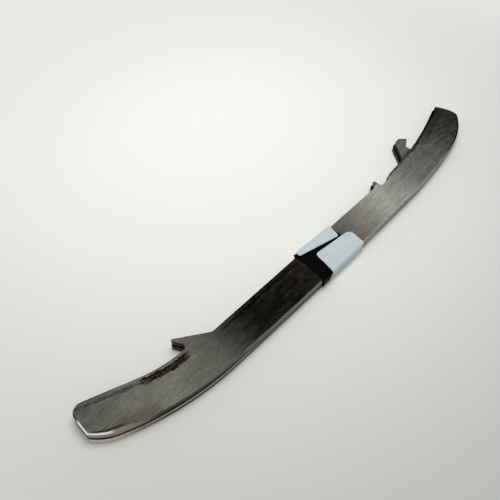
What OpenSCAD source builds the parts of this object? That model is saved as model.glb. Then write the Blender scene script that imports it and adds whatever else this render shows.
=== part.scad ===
// A pair of worn hockey skate runners, stacked flat and bound at the middle
// by a black tape band and a white label that wraps round the band.
// Each runner is a flat steel plate with a hollow-ground ice edge, a rear hook,
// a trigger seat and a front hook that hold it in a quick-release holder.
// The pair lies flat: +X to the toe, +Y from the ice edge to the hooks, +Z up.

/* [Runner] */
// Overall length of one runner, heel end to toe end
runner_length = 282.1; // [240:0.1:320]
// Thickness of the steel
steel_thick = 3; // [2.4:0.1:4]
// Height of the steel between the hooks, ice edge to top edge
steel_height = 18.4; // [15:0.1:22]
// Heel end to the pivot, the lowest point of the rocker
pivot_from_heel = 130.7; // [110:0.1:150]

/* [Ice edge] */
// Rocker: the long arc of the middle of the edge
rocker_radius = 3350; // [2000:10:4000]
// Heel end to where the heel arc leaves the rocker
heel_arc_start = 63.1; // [52:0.1:72]
// Radius of the heel arc
heel_arc_radius = 147; // [120:1:180]
// Heel end to where the edge turns up into the heel
heel_tip_start = 9.5; // [8:0.1:12]
// Radius of the upturned heel
heel_tip_radius = 25; // [20:0.1:32]
// Radius of the corner between that turn and the heel end
heel_corner_radius = 2.2; // [1.5:0.1:4]
// Radius of the heel end above that corner
heel_end_radius = 60; // [45:1:80]
// Toe end to where the toe arc leaves the rocker
toe_arc_start = 70.8; // [60:0.1:82]
// Radius of the toe arc
toe_arc_radius = 320; // [260:1:400]
// Toe end to where the edge turns up into the tip
toe_tip_start = 24.1; // [20:0.1:29]
// Radius of the upturned tip
toe_tip_radius = 52; // [42:0.1:65]
// Radius of the corner between the tip and the toe end
toe_corner_radius = 5.4; // [3:0.1:8]
// Radius of the toe end above that corner
toe_end_radius = 20; // [16:0.1:26]
// Radius of the hollow ground along the edge
hollow_radius = 12.7; // [9:0.1:25]

/* [Top edge] */
// Slope of the straight top edge behind the rear hook, in degrees
heel_slope = 20.8; // [14:0.1:26]
// Height of the ledge in front of the rear hook's mouth, above the straight top edge
heel_ledge_rise = 2.6; // [1:0.1:4]
// Radius that blends the ledge into the slope
heel_ledge_radius = 69; // [50:1:100]
// Radius of the corner at the top of the heel
heel_top_radius = 4.5; // [2:0.1:5.5]
// Toe end to where the top edge starts to rise
front_rise_start = 89.4; // [75:0.1:100]
// Radius of the rising top edge
front_rise_radius = 268; // [220:1:340]
// Radius of the corner at the top of the toe
toe_top_radius = 0.8; // [0.3:0.1:2]

/* [Rear hook] */
// Heel end to the hook's nose
rear_hook_from_heel = 52.8; // [46:0.1:60]
// Height of the nose above the straight top edge
rear_hook_rise = 11; // [8.5:0.1:14]
// How far the nose hangs over its mouth
rear_hook_overhang = 2.8; // [1.5:0.1:4]
// Height of the deepest point of the mouth above the ledge
rear_mouth_height = 1.8; // [1:0.1:2.6]
// How far the mouth's end leans back down to the ledge
rear_mouth_lean = 1.3; // [0.5:0.1:1.8]
// Length of the ramp behind the nose
rear_ramp_length = 15.9; // [11:0.1:20]
// Height of the blunt end of the nose
nose_blunt = 1.6; // [1:0.1:2.4]
// Radius on the nose
nose_radius = 0.4; // [0.1:0.1:0.7]

/* [Front hook] */
// Toe end to the back of the hook's root
front_hook_from_toe = 57.3; // [48:0.1:66]
// Height of the hook above the straight top edge
front_hook_rise = 13.5; // [11:0.1:17]
// Length of the hook, back of the root to the tip
front_hook_reach = 16.5; // [14:0.1:19]
// Width of the root
front_hook_root = 10.1; // [8:0.1:12]
// Length of the flat top of the finger
front_hook_top = 4.1; // [3:0.1:5]
// Height of the mouth under the finger, at the root
front_hook_mouth = 3.1; // [1.6:0.1:4]
// Size of the slanted end of the finger
front_hook_bevel = 3.4; // [2:0.1:4.2]
// Radius on the back of the finger
front_hook_round = 3; // [1:0.1:4]

/* [Trigger seat] */
// Toe end to the upright face of the tooth
tooth_from_toe = 83.4; // [78:0.1:90]
// Height of the tooth above the straight top edge
tooth_rise = 3.3; // [1.8:0.1:4.5]
// Width of the tooth at its root
tooth_root = 4.4; // [2.4:0.1:5]
// Width of the tooth at its top
tooth_top = 1.3; // [0.5:0.1:1.8]
// Depth of the notch floor below the straight top edge
notch_depth = 1.7; // [1.4:0.1:4]
// Length of the flat floor of the notch
notch_floor_length = 5; // [4:0.1:6]
// Length of the ramp out of the notch
notch_ramp_length = 4.4; // [3:0.1:6]
// Rise of that ramp
notch_ramp_rise = 1.2; // [0.4:0.1:1.4]
// Length of the step from the ramp to the top edge
notch_step_length = 0.8; // [0.4:0.1:1.5]
// Radius in the corner below the tooth
notch_radius = 1.2; // [0.4:0.1:2]

/* [Pair] */
// Gap between the two plates at the toe
pair_gap = 0.1; // [0.05:0.05:0.6]
// Angle by which the plates open toward the heel, in degrees
pair_open = 0.28; // [0:0.01:0.6]
// How far the lower runner sits toward the heel
pair_shift = 0.1; // [0:0.1:2]
// How far the lower runner sits toward the hooks
pair_offset = 0.45; // [0:0.05:1]
// Turn of the lower runner, in degrees
pair_turn = 0.2; // [0:0.05:0.3]

/* [Tape band] */
// Pivot to the heel-side edge of the band
band_start = -3.5; // [-20:0.1:10]
// Width of the band along the runners
band_width = 27.5; // [15:0.1:40]
// Thickness of the wound tape
band_thick = 0.3; // [0.15:0.05:0.6]
// Slack of the wrap at the ice edge
near_slack = 0.6; // [0.4:0.1:2]
// Slack of the wrap at the top edge
far_slack = 1.4; // [1.2:0.1:3]

/* [Label] */
// Width of the label along the runners
label_width = 25; // [15:0.1:32]
// Thickness of the label
label_thick = 0.2; // [0.1:0.05:0.4]
// Pivot to the middle of the label at the ice edge
label_near_middle = 15; // [8:0.1:22]
// Pivot to the middle of the label at the top edge
label_far_middle = 12; // [5:0.1:19]
// How far the near flap reaches over the top face from the ice edge
near_flap_reach = 11.9; // [8:0.1:12]
// How far the far flap reaches over the top face from the top edge
far_flap_reach = 3.8; // [2:0.1:4.4]
// Skew of the near flap, in degrees
near_flap_skew = 7; // [0:0.5:10]
// Skew of the far flap, in degrees
far_flap_skew = 14; // [7:0.5:16]
// Radius of the near flap's corners
near_flap_radius = 2.2; // [0.5:0.1:3]
// Radius of the far flap's corners
far_flap_radius = 0.9; // [0.4:0.1:1.5]

/* [Hidden] */

// Clearance between the wrap and the flat faces of the steel
wrap_clear = 0.02;
// Stock that the plate has beyond the ice edge before the hollow is ground
grind_stock = 0.15;
// How far each grinding cut runs on past its arc, where it meets no steel
grind_run_out = 5;
// Turn of the edge, in degrees, where the heel and toe arcs leave the rocker,
// and where the tips leave those arcs
arc_turn = 1;
tip_turn = 2;
// Fillets in the inside corners of the outline
rear_ramp_fillet = 2;
rear_mouth_fillet = 0.5;
front_root_fillet = 0.7;
front_mouth_fillet = 0.6;
hook_edge_round = 0.5;
// Length of one segment of a curved edge
edge_step = 1.2;
// Segments of a rounded corner and of the grinding wheel's round section
fillet_steps = 6;
wheel_steps = 180;
// How far a hook's run of points reaches along the plain edge, and the space to the next run
run_lead = 2;
run_space = 0.5;
// Turn of the ledge arc, in degrees, that the rounded start of the ledge takes up
ledge_lead_turn = 1;
// Points nearer together than this count as one
same_point = 0.02;
// How far the label's outline is drawn past the wrap before it is cut to it
plan_margin = 1;

// Geometry helpers: unit vector, point on a circle, arc, rounded corner and meeting points
function unit(v) = v / norm(v);
function on_circle(c, r, a) = c + r * [cos(a), sin(a)];

// Points along an arc about c, both ends included
function arc(c, r, a0, a1) =
    let (n = max(2, ceil(abs(a1 - a0) * PI / 180 * r / edge_step)))
    [for (i = [0:n]) on_circle(c, r, a0 + (a1 - a0) * i / n)];

// Points of the arc of radius r that rounds corner b between a and c
function fillet(a, b, c, r) =
    let (p = unit(a - b),
         q = unit(c - b),
         half = acos(p * q) / 2,
         centre = b + unit(p + q) * r / sin(half),
         start = b + p * r / tan(half) - centre,
         a0 = atan2(start.y, start.x),
         turn = (cross(p, q) < 0 ? 1 : -1) * (180 - 2 * half))
    [for (i = [0:fillet_steps]) on_circle(centre, r, a0 + turn * i / fillet_steps)];

// A run of corners [x, y, r], rounded where r is not 0; the first and last stay as they are
function rounded(run) =
    [for (i = [0:len(run) - 1])
        let (b = [run[i].x, run[i].y])
        each (i == 0 || i == len(run) - 1 || run[i].z == 0 ? [b] :
            fillet([run[i - 1].x, run[i - 1].y], b, [run[i + 1].x, run[i + 1].y], run[i].z))];

// The same for a closed outline
function rounded_loop(run) =
    [for (i = [0:len(run) - 1])
        let (a = run[(i + len(run) - 1) % len(run)], b = run[i], c = run[(i + 1) % len(run)])
        each fillet([a.x, a.y], [b.x, b.y], [c.x, c.y], b.z)];

// Where the circles (c1, r1) and (c2, r2) meet, on the right when looking from c1 to c2
function circles_meet(c1, r1, c2, r2) =
    let (d = norm(c2 - c1),
         e = (c2 - c1) / d,
         along = (r1 * r1 - r2 * r2 + d * d) / (2 * d),
         aside = sqrt(r1 * r1 - along * along))
    c1 + along * e + aside * [e.y, -e.x];

// Where a line from p along the unit vector d leaves the circle (c, r)
function line_leaves(p, d, c, r) =
    let (m = (p - c) * d)
    p + d * (-m + sqrt(m * m - (p - c) * (p - c) + r * r));

// Runner coordinates: x from the pivot toward the toe, y up from the ice edge
heel_x = -pivot_from_heel;
toe_x = runner_length - pivot_from_heel;

// The ice edge is a chain of arcs with all centres above it, each with a slight turn from the last,
// as the grinding of a worn edge leaves. Angles are measured from straight down, toward the toe.
function down(a) = [sin(a), -cos(a)];

// Centre of an arc that leaves the arc (c, r) at angle a with a turn
function next_centre(c, r, a, next_r, turn) = c + r * down(a) - next_r * down(a + turn);

// Angle at which the arc (c, r) passes x
function angle_at(c, r, x) = asin((x - c.x) / r);

rocker_c = [0, rocker_radius];
heel_joint = angle_at(rocker_c, rocker_radius, heel_x + heel_arc_start);
heel_arc_c = next_centre(rocker_c, rocker_radius, heel_joint, heel_arc_radius, -arc_turn);
heel_tip_joint = angle_at(heel_arc_c, heel_arc_radius, heel_x + heel_tip_start);
heel_tip_c = next_centre(heel_arc_c, heel_arc_radius, heel_tip_joint, heel_tip_radius, -tip_turn);
toe_joint = angle_at(rocker_c, rocker_radius, toe_x - toe_arc_start);
toe_arc_c = next_centre(rocker_c, rocker_radius, toe_joint, toe_arc_radius, arc_turn);
toe_tip_joint = angle_at(toe_arc_c, toe_arc_radius, toe_x - toe_tip_start);
toe_tip_c = next_centre(toe_arc_c, toe_arc_radius, toe_tip_joint, toe_tip_radius, tip_turn);

// A corner touches the stock of its tip from inside and stops at the end of the runner
function corner_angle(c, r, corner_r, x) = angle_at(c, r + grind_stock - corner_r, x);
function corner_centre(c, r, corner_r, a) = c + (r + grind_stock - corner_r) * down(a);

heel_corner_angle =
    corner_angle(heel_tip_c, heel_tip_radius, heel_corner_radius, heel_x + heel_corner_radius);
heel_corner_c = corner_centre(heel_tip_c, heel_tip_radius, heel_corner_radius, heel_corner_angle);
heel_end_c = [heel_x + heel_end_radius, heel_corner_c.y];
toe_corner_angle = corner_angle(toe_tip_c, toe_tip_radius, toe_corner_radius, toe_x - toe_corner_radius);
toe_corner_c = corner_centre(toe_tip_c, toe_tip_radius, toe_corner_radius, toe_corner_angle);
toe_end_c = [toe_x - toe_end_radius, toe_corner_c.y];

// The top edge at the front is one arc that leaves the straight edge smoothly
rise_x = toe_x - front_rise_start;
rise_c = [rise_x, steel_height + front_rise_radius];
function rail(x) = x < rise_x ? steel_height :
    rise_c.y - sqrt(pow(front_rise_radius, 2) - pow(x - rise_x, 2));
function rail_run(x0, x1) =
    let (n = max(2, ceil(abs(x1 - x0) / (2 * edge_step))))
    [for (i = [0:n]) let (x = x0 + (x1 - x0) * i / n) [x, rail(x)]];
toe_top = circles_meet(toe_end_c, toe_end_radius, rise_c, front_rise_radius);
toe_top_angle = atan2(toe_top.y - toe_end_c.y, toe_top.x - toe_end_c.x);
toe_top_trim = 2 * toe_top_radius;
toe_arc_stop = toe_top_angle - toe_top_trim / toe_end_radius * 180 / PI;
rise_stop = [toe_top.x - toe_top_trim, rail(toe_top.x - toe_top_trim)];

// The hooks' driving points
heel_ledge_height = steel_height + heel_ledge_rise;
nose = [heel_x + rear_hook_from_heel, steel_height + rear_hook_rise];
mouth = [nose.x + rear_hook_overhang, heel_ledge_height + rear_mouth_height];
ledge_start = [mouth.x - rear_mouth_lean, heel_ledge_height];
ramp_foot = [nose.x + rear_ramp_length, steel_height];
front_hook_height = steel_height + front_hook_rise;
hook_back_x = toe_x - front_hook_from_toe;
hook_root_x = hook_back_x + front_hook_root;
hook_tip = [hook_back_x + front_hook_reach, front_hook_height - front_hook_bevel];
hook_back_top = hook_tip.x - front_hook_bevel - front_hook_top;
hook_under_y = rail(hook_root_x) + front_hook_mouth;

// The tooth and the notch that the holder's trigger drops into
tooth_x = toe_x - tooth_from_toe;
tooth_height = steel_height + tooth_rise;
notch_floor_height = steel_height - notch_depth;
ramp_x = tooth_x + notch_floor_length;
step_x = ramp_x + notch_ramp_length;
notch_end_x = step_x + notch_step_length;
tooth_round = tooth_top / 3;

// The heel: a ledge arc, a straight slope and a rounded corner
ledge_c = [ledge_start.x, heel_ledge_height + heel_ledge_radius];
ledge_lead_angle = -90 - ledge_lead_turn;
ledge_lead = on_circle(ledge_c, heel_ledge_radius, ledge_lead_angle);
slope_start = on_circle(ledge_c, heel_ledge_radius, -90 - heel_slope);
heel_top = line_leaves(slope_start, [-cos(heel_slope), sin(heel_slope)], heel_end_c, heel_end_radius);
heel_top_angle = atan2(heel_top.y - heel_end_c.y, heel_top.x - heel_end_c.x);
heel_top_trim = 1.3 * heel_top_radius;
heel_arc_stop = heel_top_angle + heel_top_trim / heel_end_radius * 180 / PI;

front_hook_run = rounded([
    [hook_root_x + run_lead, rail(hook_root_x + run_lead), 0],
    [hook_root_x, rail(hook_root_x), front_mouth_fillet],
    [hook_root_x, hook_under_y, front_mouth_fillet],
    [hook_tip.x, hook_tip.y, hook_edge_round],
    [hook_tip.x - front_hook_bevel, front_hook_height, hook_edge_round],
    [hook_back_top, front_hook_height, front_hook_round],
    [hook_back_x, rail(hook_back_x), front_root_fillet],
    [hook_back_x - run_lead, rail(hook_back_x - run_lead), 0]]);

trigger_run = rounded([
    [notch_end_x, rail(notch_end_x), 0],
    [step_x, notch_floor_height + notch_ramp_rise, 0],
    [ramp_x, notch_floor_height, 0],
    [tooth_x, notch_floor_height, notch_radius],
    [tooth_x, tooth_height, tooth_round],
    [tooth_x - tooth_top, tooth_height, tooth_round],
    [tooth_x - tooth_root, rail(tooth_x - tooth_root), 0]]);

rear_hook_run = rounded([
    [ramp_foot.x + 2 * run_lead, steel_height, 0],
    [ramp_foot.x, ramp_foot.y, rear_ramp_fillet],
    [nose.x, nose.y, nose_radius],
    [nose.x, nose.y - nose_blunt, nose_radius],
    [mouth.x, mouth.y, rear_mouth_fillet],
    [ledge_start.x, ledge_start.y, rear_mouth_fillet],
    [ledge_lead.x, ledge_lead.y, 0]]);

// A closed run of points without those that repeat their neighbour
function no_repeats(run) =
    [for (i = [0:len(run) - 1]) if (norm(run[i] - run[(i + 1) % len(run)]) > same_point) run[i]];

// Points along one arc of the ice edge, with the stock that the grinding takes off
function edge_run(c, r, a0, a1) = arc(c, r + grind_stock, a0 - 90, a1 - 90);

// Outline of the plate before grinding, counter-clockwise
plate_outline = no_repeats(concat(
    edge_run(heel_tip_c, heel_tip_radius, heel_corner_angle, heel_tip_joint - tip_turn),
    edge_run(heel_arc_c, heel_arc_radius, heel_tip_joint, heel_joint - arc_turn),
    edge_run(rocker_c, rocker_radius, heel_joint, toe_joint),
    edge_run(toe_arc_c, toe_arc_radius, toe_joint + arc_turn, toe_tip_joint),
    edge_run(toe_tip_c, toe_tip_radius, toe_tip_joint + tip_turn, toe_corner_angle),
    arc(toe_corner_c, toe_corner_radius, toe_corner_angle - 90, 0),
    arc(toe_end_c, toe_end_radius, 0, toe_arc_stop),
    fillet(on_circle(toe_end_c, toe_end_radius, toe_arc_stop), toe_top, rise_stop, toe_top_radius),
    rail_run(rise_stop.x, hook_root_x + run_lead + run_space),
    front_hook_run,
    rail_run(hook_back_x - run_lead - run_space, notch_end_x + run_space),
    trigger_run,
    rear_hook_run,
    arc(ledge_c, heel_ledge_radius, ledge_lead_angle, -90 - heel_slope),
    fillet(slope_start, heel_top, on_circle(heel_end_c, heel_end_radius, heel_arc_stop), heel_top_radius),
    arc(heel_end_c, heel_end_radius, heel_arc_stop, 180),
    arc(heel_corner_c, heel_corner_radius, 180, heel_corner_angle + 270)));

// The cut of the grinding wheel along one arc of the ice edge: a ring whose round section
// meets both faces of the plate on the arc and leaves the hollow between them
module hollow_cut(c, r, a0, a1) {
    wheel_offset = sqrt(pow(hollow_radius, 2) - pow(steel_thick / 2, 2));
    translate([c.x, c.y, steel_thick / 2])
        rotate(a0 - 90)
            rotate_extrude(angle = a1 - a0, $fn = ceil(2 * PI * r / edge_step))
                translate([r + wheel_offset, 0])
                    circle(r = hollow_radius, $fn = wheel_steps);
}

// Angle of the run-out on an arc of radius r
function run_out(r) = grind_run_out / r * 180 / PI;

// One runner in its own coordinates, lying on z = 0. Each cut starts clear of the steel:
// the tighter arc's cut at the angle of the arc it leaves, the wider one's past the joint.
module runner() {
    difference() {
        linear_extrude(steel_thick)
            polygon(plate_outline);
        hollow_cut(heel_tip_c, heel_tip_radius, heel_corner_angle - run_out(heel_tip_radius), heel_tip_joint);
        hollow_cut(heel_arc_c, heel_arc_radius, heel_tip_joint - run_out(heel_arc_radius), heel_joint);
        hollow_cut(rocker_c, rocker_radius,
            heel_joint - run_out(rocker_radius), toe_joint + run_out(rocker_radius));
        hollow_cut(toe_arc_c, toe_arc_radius, toe_joint, toe_tip_joint + run_out(toe_arc_radius));
        hollow_cut(toe_tip_c, toe_tip_radius, toe_tip_joint, toe_corner_angle + run_out(toe_tip_radius));
    }
}

// Heights of the stack above the surface it lies on; the upper runner tilts about its toe end
steel_bottom = label_thick + band_thick + wrap_clear;
upper_low = steel_bottom + steel_thick + pair_gap;
function upper_top(x) = upper_low + (toe_x - x) * tan(pair_open) + steel_thick / cos(pair_open);
steel_top = upper_top(band_start);

// The lower runner turns about the middle of the wrap
wrap_middle = [band_start + band_width / 2, steel_height / 2];
function lower_place(p) =
    let (d = p - wrap_middle)
    wrap_middle + [-pair_shift, pair_offset] +
        [d.x * cos(pair_turn) - d.y * sin(pair_turn), d.x * sin(pair_turn) + d.y * cos(pair_turn)];

// How far the lower runner stands out past the upper one's top edge inside the wrap
lower_out = pair_offset + band_width * sin(pair_turn);

// The origin is under the middle of the box round the whole bundle
both_outlines = concat(plate_outline, [for (p = plate_outline) lower_place(p)]);
wrap_low_y = -near_slack - wrap_clear - band_thick - label_thick;
box_x = [min([for (p = both_outlines) p.x]), max([for (p = both_outlines) p.x])];
box_y = [wrap_low_y, max([for (p = both_outlines) p.y])];
centre = [(box_x[0] + box_x[1]) / 2, (box_y[0] + box_y[1]) / 2];

module in_bundle_frame() {
    translate([-centre.x, -centre.y, 0])
        children();
}

// Section of the wrap across the runners, grown outward by g from the surface next to the steel
module wrap_section(g) {
    near_y = -near_slack - g;
    far_y = steel_height + far_slack + g;
    far_round = far_slack - lower_out + g;
    low = steel_bottom - wrap_clear - g;
    high = steel_top + wrap_clear + g;
    polygon(rounded_loop([
        [near_y, low, -near_y],
        [far_y, low, far_round],
        [far_y, high, far_round],
        [near_y, high, -near_y]]));
}

// A sleeve round the runners between two growths, from x0 to x1
module sleeve(g0, g1, x0, x1) {
    translate([x0, 0, 0])
        rotate([90, 0, 90])
            linear_extrude(x1 - x0)
                difference() {
                    wrap_section(g1);
                    wrap_section(g0);
                }
}

// Outline of a flap seen from above: a strip of the label's width with rounded free corners
module flap(at, skew, reach, r, root) {
    half = label_width / 2;
    translate(at)
        rotate(-skew)
            polygon(rounded([
                [-half, -root, 0],
                [half, -root, 0],
                [half, reach, r],
                [-half, reach, r],
                [-half, -root, 0]]));
}

// The label's flaps above the middle of the stack, and its underside below it
module label_plan() {
    near_edge = [label_near_middle, 0];
    far_edge = [label_far_middle, steel_height];
    wall = far_slack + band_thick + label_thick + plan_margin;
    half = label_width / 2;
    mid_z = (steel_bottom + steel_top) / 2;
    translate([0, 0, mid_z])
        linear_extrude(steel_top)
            flap(near_edge, near_flap_skew, near_flap_reach, near_flap_radius, wall);
    translate([0, 0, mid_z])
        linear_extrude(steel_top)
            flap(far_edge, far_flap_skew + 180, far_flap_reach, far_flap_radius, wall);
    translate([0, 0, -plan_margin])
        linear_extrude(mid_z + plan_margin)
            polygon([
                near_edge + [-half, -wall], near_edge + [half, -wall], near_edge + [half, 0],
                far_edge + [half, 0], far_edge + [half, wall], far_edge + [-half, wall],
                far_edge + [-half, 0], near_edge + [-half, 0]]);
}

module upper_blade() {
    color("dimgray")
        in_bundle_frame()
            translate([toe_x, 0, upper_low])
                rotate([0, pair_open, 0])
                    translate([-toe_x, 0, 0])
                        runner();
}

module lower_blade() {
    color("gray")
        in_bundle_frame()
            translate([wrap_middle.x - pair_shift, wrap_middle.y + pair_offset, steel_bottom])
                rotate(pair_turn)
                    translate([-wrap_middle.x, -wrap_middle.y, 0])
                        runner();
}

module tape_band() {
    color("black")
        in_bundle_frame()
            sleeve(0, band_thick, band_start, band_start + band_width);
}

// Over the band the label lies on the tape; past its edge it steps down onto the steel
module wrap_label() {
    band_end = band_start + band_width;
    label_low = min(label_near_middle, label_far_middle) - label_width;
    label_high = max(label_near_middle, label_far_middle) + label_width;
    outer = band_thick + label_thick;
    color("white")
        in_bundle_frame()
            intersection() {
                union() {
                    sleeve(band_thick, outer, label_low, band_end + label_thick);
                    sleeve(0, label_thick, band_end, label_high);
                    sleeve(0, outer, band_end, band_end + label_thick);
                }
                label_plan();
            }
}

upper_blade();
lower_blade();
tape_band();
wrap_label();
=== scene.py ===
# %% [markdown]
# # A pair of worn skate runners in tape and a label
# Two steel runners lie flat on each other, bound at the middle by black tape with a white label wrapped round
# it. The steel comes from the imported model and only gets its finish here. The tape and the label are thin
# soft sheets, so they are made again as surfaces that bend, lift and fray a little.

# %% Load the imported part
import math
import bpy
import numpy as np
from mathutils import Matrix, Vector


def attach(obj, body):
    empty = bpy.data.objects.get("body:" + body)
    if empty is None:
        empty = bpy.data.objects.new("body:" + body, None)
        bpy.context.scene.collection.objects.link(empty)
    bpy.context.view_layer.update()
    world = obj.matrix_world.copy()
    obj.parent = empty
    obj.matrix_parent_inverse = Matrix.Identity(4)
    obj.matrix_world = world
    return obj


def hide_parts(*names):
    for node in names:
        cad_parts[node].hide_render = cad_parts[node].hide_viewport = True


MM = 0.001
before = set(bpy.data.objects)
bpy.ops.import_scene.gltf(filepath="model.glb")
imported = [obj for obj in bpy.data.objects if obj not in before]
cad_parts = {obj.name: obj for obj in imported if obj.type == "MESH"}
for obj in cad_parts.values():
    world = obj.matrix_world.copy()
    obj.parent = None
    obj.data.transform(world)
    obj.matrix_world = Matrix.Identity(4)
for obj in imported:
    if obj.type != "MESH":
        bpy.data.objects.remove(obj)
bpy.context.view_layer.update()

# %% [markdown]
# ## Helpers
# Colours are easy to judge as hex values on a screen, but a shader works in linear light, so one function
# turns the first into the second. A node graph gets hard to read when each node takes four lines, so another
# small function adds a node with its settings and links.


# %% Colour and node helpers
def linear(hex_colour):
    """sRGB hex to linear RGBA: small values divided by 12.92, the others by the power 2.4 curve."""
    srgb = np.array([int(hex_colour[i:i + 2], 16) / 255 for i in (1, 3, 5)])
    rgb = np.where(srgb <= 0.04045, srgb / 12.92, ((srgb + 0.055) / 1.055) ** 2.4)
    return (*rgb.tolist(), 1.0)


def add(tree, kind, settings=None, **inputs):
    """
    Adds a node. settings are its properties. inputs are values, or sockets to link from, by the input's name,
    or by its place as i0, i1 and so on where several inputs share a name.
    """
    made = tree.nodes.new(kind)
    for name, value in (settings or {}).items():
        setattr(made, name, value)
    for name, value in inputs.items():
        key = int(name[1:]) if name[0] == "i" and name[1:].isdigit() else name.replace("_", " ")
        if isinstance(value, bpy.types.NodeSocket):
            tree.links.new(value, made.inputs[key])
        else:
            made.inputs[key].default_value = value
    return made


def new_material(name):
    """An empty node material; returns the material and its node tree."""
    material = bpy.data.materials.new(name)
    material.use_nodes = True
    material.node_tree.nodes.clear()
    return material, material.node_tree


def set_ramp(ramp_node, stops):
    """Puts (position, colour) stops on a colour ramp."""
    elements = ramp_node.color_ramp.elements
    while len(elements) > 1:
        elements.remove(elements[-1])
    elements[0].position, elements[0].color = stops[0]
    for position, colour in stops[1:]:
        elements.new(position).color = colour


print("white in linear light:", linear("#ffffff"))

# %% [markdown]
# ## Sizes shared with the solids
# The wrap has to lie where its solids lie. A runner's own coordinates are easiest to think in: u runs from
# the pivot of the rocker toward the toe and v up from the ice edge, in millimetres. The part's origin is
# under the middle of the whole bundle.

# %% Named sizes in millimetres
# The part's origin, in a runner's u and v
RUNNER_MIDDLE = (10.28, 16.7)
HEEL_U, TOE_U = -130.7, 151.4
STEEL_THICK, STEEL_HEIGHT = 3.0, 18.4
# The tape and the label below the lower runner keep it off the board
STEEL_BOTTOM = 0.52
# The gap between the runners at the toe, and the angle by which it opens toward the heel
PLATE_GAP, PLATES_OPEN = 0.1, math.radians(0.28)
# How far the lower runner sits out toward the hooks at the wrap
LOWER_OUT = 0.55
# Air between the wrap and the faces it lies on
CLEAR = 0.02
BAND_START, BAND_WIDTH, BAND_THICK = -3.5, 27.5, 0.3
LABEL_WIDTH, LABEL_THICK = 25.0, 0.2


def steel_top(u):
    """Height of the upper runner's face: it rises toward the heel because the plates open that way."""
    return STEEL_BOTTOM + 2 * STEEL_THICK + PLATE_GAP + (TOE_U - u) * math.tan(PLATES_OPEN)


def part_metres(u, v, z):
    """Runner coordinates in mm to the part's frame in metres."""
    return np.stack([u - RUNNER_MIDDLE[0], v - RUNNER_MIDDLE[1], z], axis=-1) * MM


print("height of the stack at the wrap in mm:", round(steel_top(BAND_START), 2))

# %% [markdown]
# ## The section of the wrap
# Tape pulled round two plates lies flat on both faces and turns round four corners. The section is a rounded
# box that can be walked by its length p: over the top toward the hooks, down the far side, back below, and up
# at the ice edge. Each straight and each quarter turn has its own formula, and np.select picks the right one.
# As the wrap is looser at one end, p is measured on one plain section and stretched a little on the others.

# %% Slack of the wrap
PLAIN_U = 12.0
# Off the ice edge: the slack, and how much further in the wrap lies at its foot than at the top
NEAR_SLACK, NEAR_SLANT = 0.8, 1.05
# The slant is less at the torn end of the tape, grows over a stretch of u and fades out over a stretch of v
SLANT_LESS, SLANT_GROWS, SLANT_FADES = 0.4, (-4.5, 0.5), (0.5, 7)
# Off the top edge: tight at the torn end, then what the slack gains and loses over two stretches of u
FAR_TIGHT = 0.65
FAR_GAIN, FAR_GAINS = 1.3, (-2.6, 0.6)
FAR_LOSS, FAR_LOSES = 0.95, (2, 20)


def smooth(x, start, end):
    """0 before start, 1 after end, and the cubic 3t^2 - 2t^3 between them."""
    t = np.clip((x - start) / (end - start), 0, 1)
    return t * t * (3 - 2 * t)


def far_slack(u):
    """How far the wrap stands off the top edge: the tight slack, plus a smooth gain, less a smooth loss."""
    return FAR_TIGHT + FAR_GAIN * smooth(u, *FAR_GAINS) - FAR_LOSS * smooth(u, *FAR_LOSES)


print("slack at the top edge in mm:", [round(float(far_slack(u)), 2) for u in (BAND_START, 1.0, PLAIN_U)])


# %% Sizes of the section
def section_sizes(u, grow):
    """Places of the straights and radii of the corners for a surface that stands grow off the steel."""
    near = -NEAR_SLACK - grow
    far = STEEL_HEIGHT + far_slack(u) + grow
    low = STEEL_BOTTOM - grow
    high = steel_top(u) + CLEAR + grow
    near_round = NEAR_SLACK + grow
    far_round = far_slack(u) - LOWER_OUT + grow
    return near, far, low, high, near_round, far_round


def stretch_ends(grow):
    """Lengths p at which the plain section changes: running sum of its quarter turns and straights."""
    near, far, low, high, rn, rf = section_sizes(np.array(PLAIN_U), grow)
    quarter = math.pi / 2
    return np.cumsum([0, rf * quarter, high - low - 2 * rf, rf * quarter, far - rf - near - rn,
                      rn * quarter, high - low - 2 * rn, rn * quarter])


def loop_length(grow):
    """Length of the whole plain section: all its stretches and the straight over the top."""
    near, far, low, high, rn, rf = section_sizes(np.array(PLAIN_U), grow)
    return float(stretch_ends(grow)[-1] + far - rf - near - rn)


print("tape's length round the plates in mm:", round(loop_length(BAND_THICK), 1))


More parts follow.
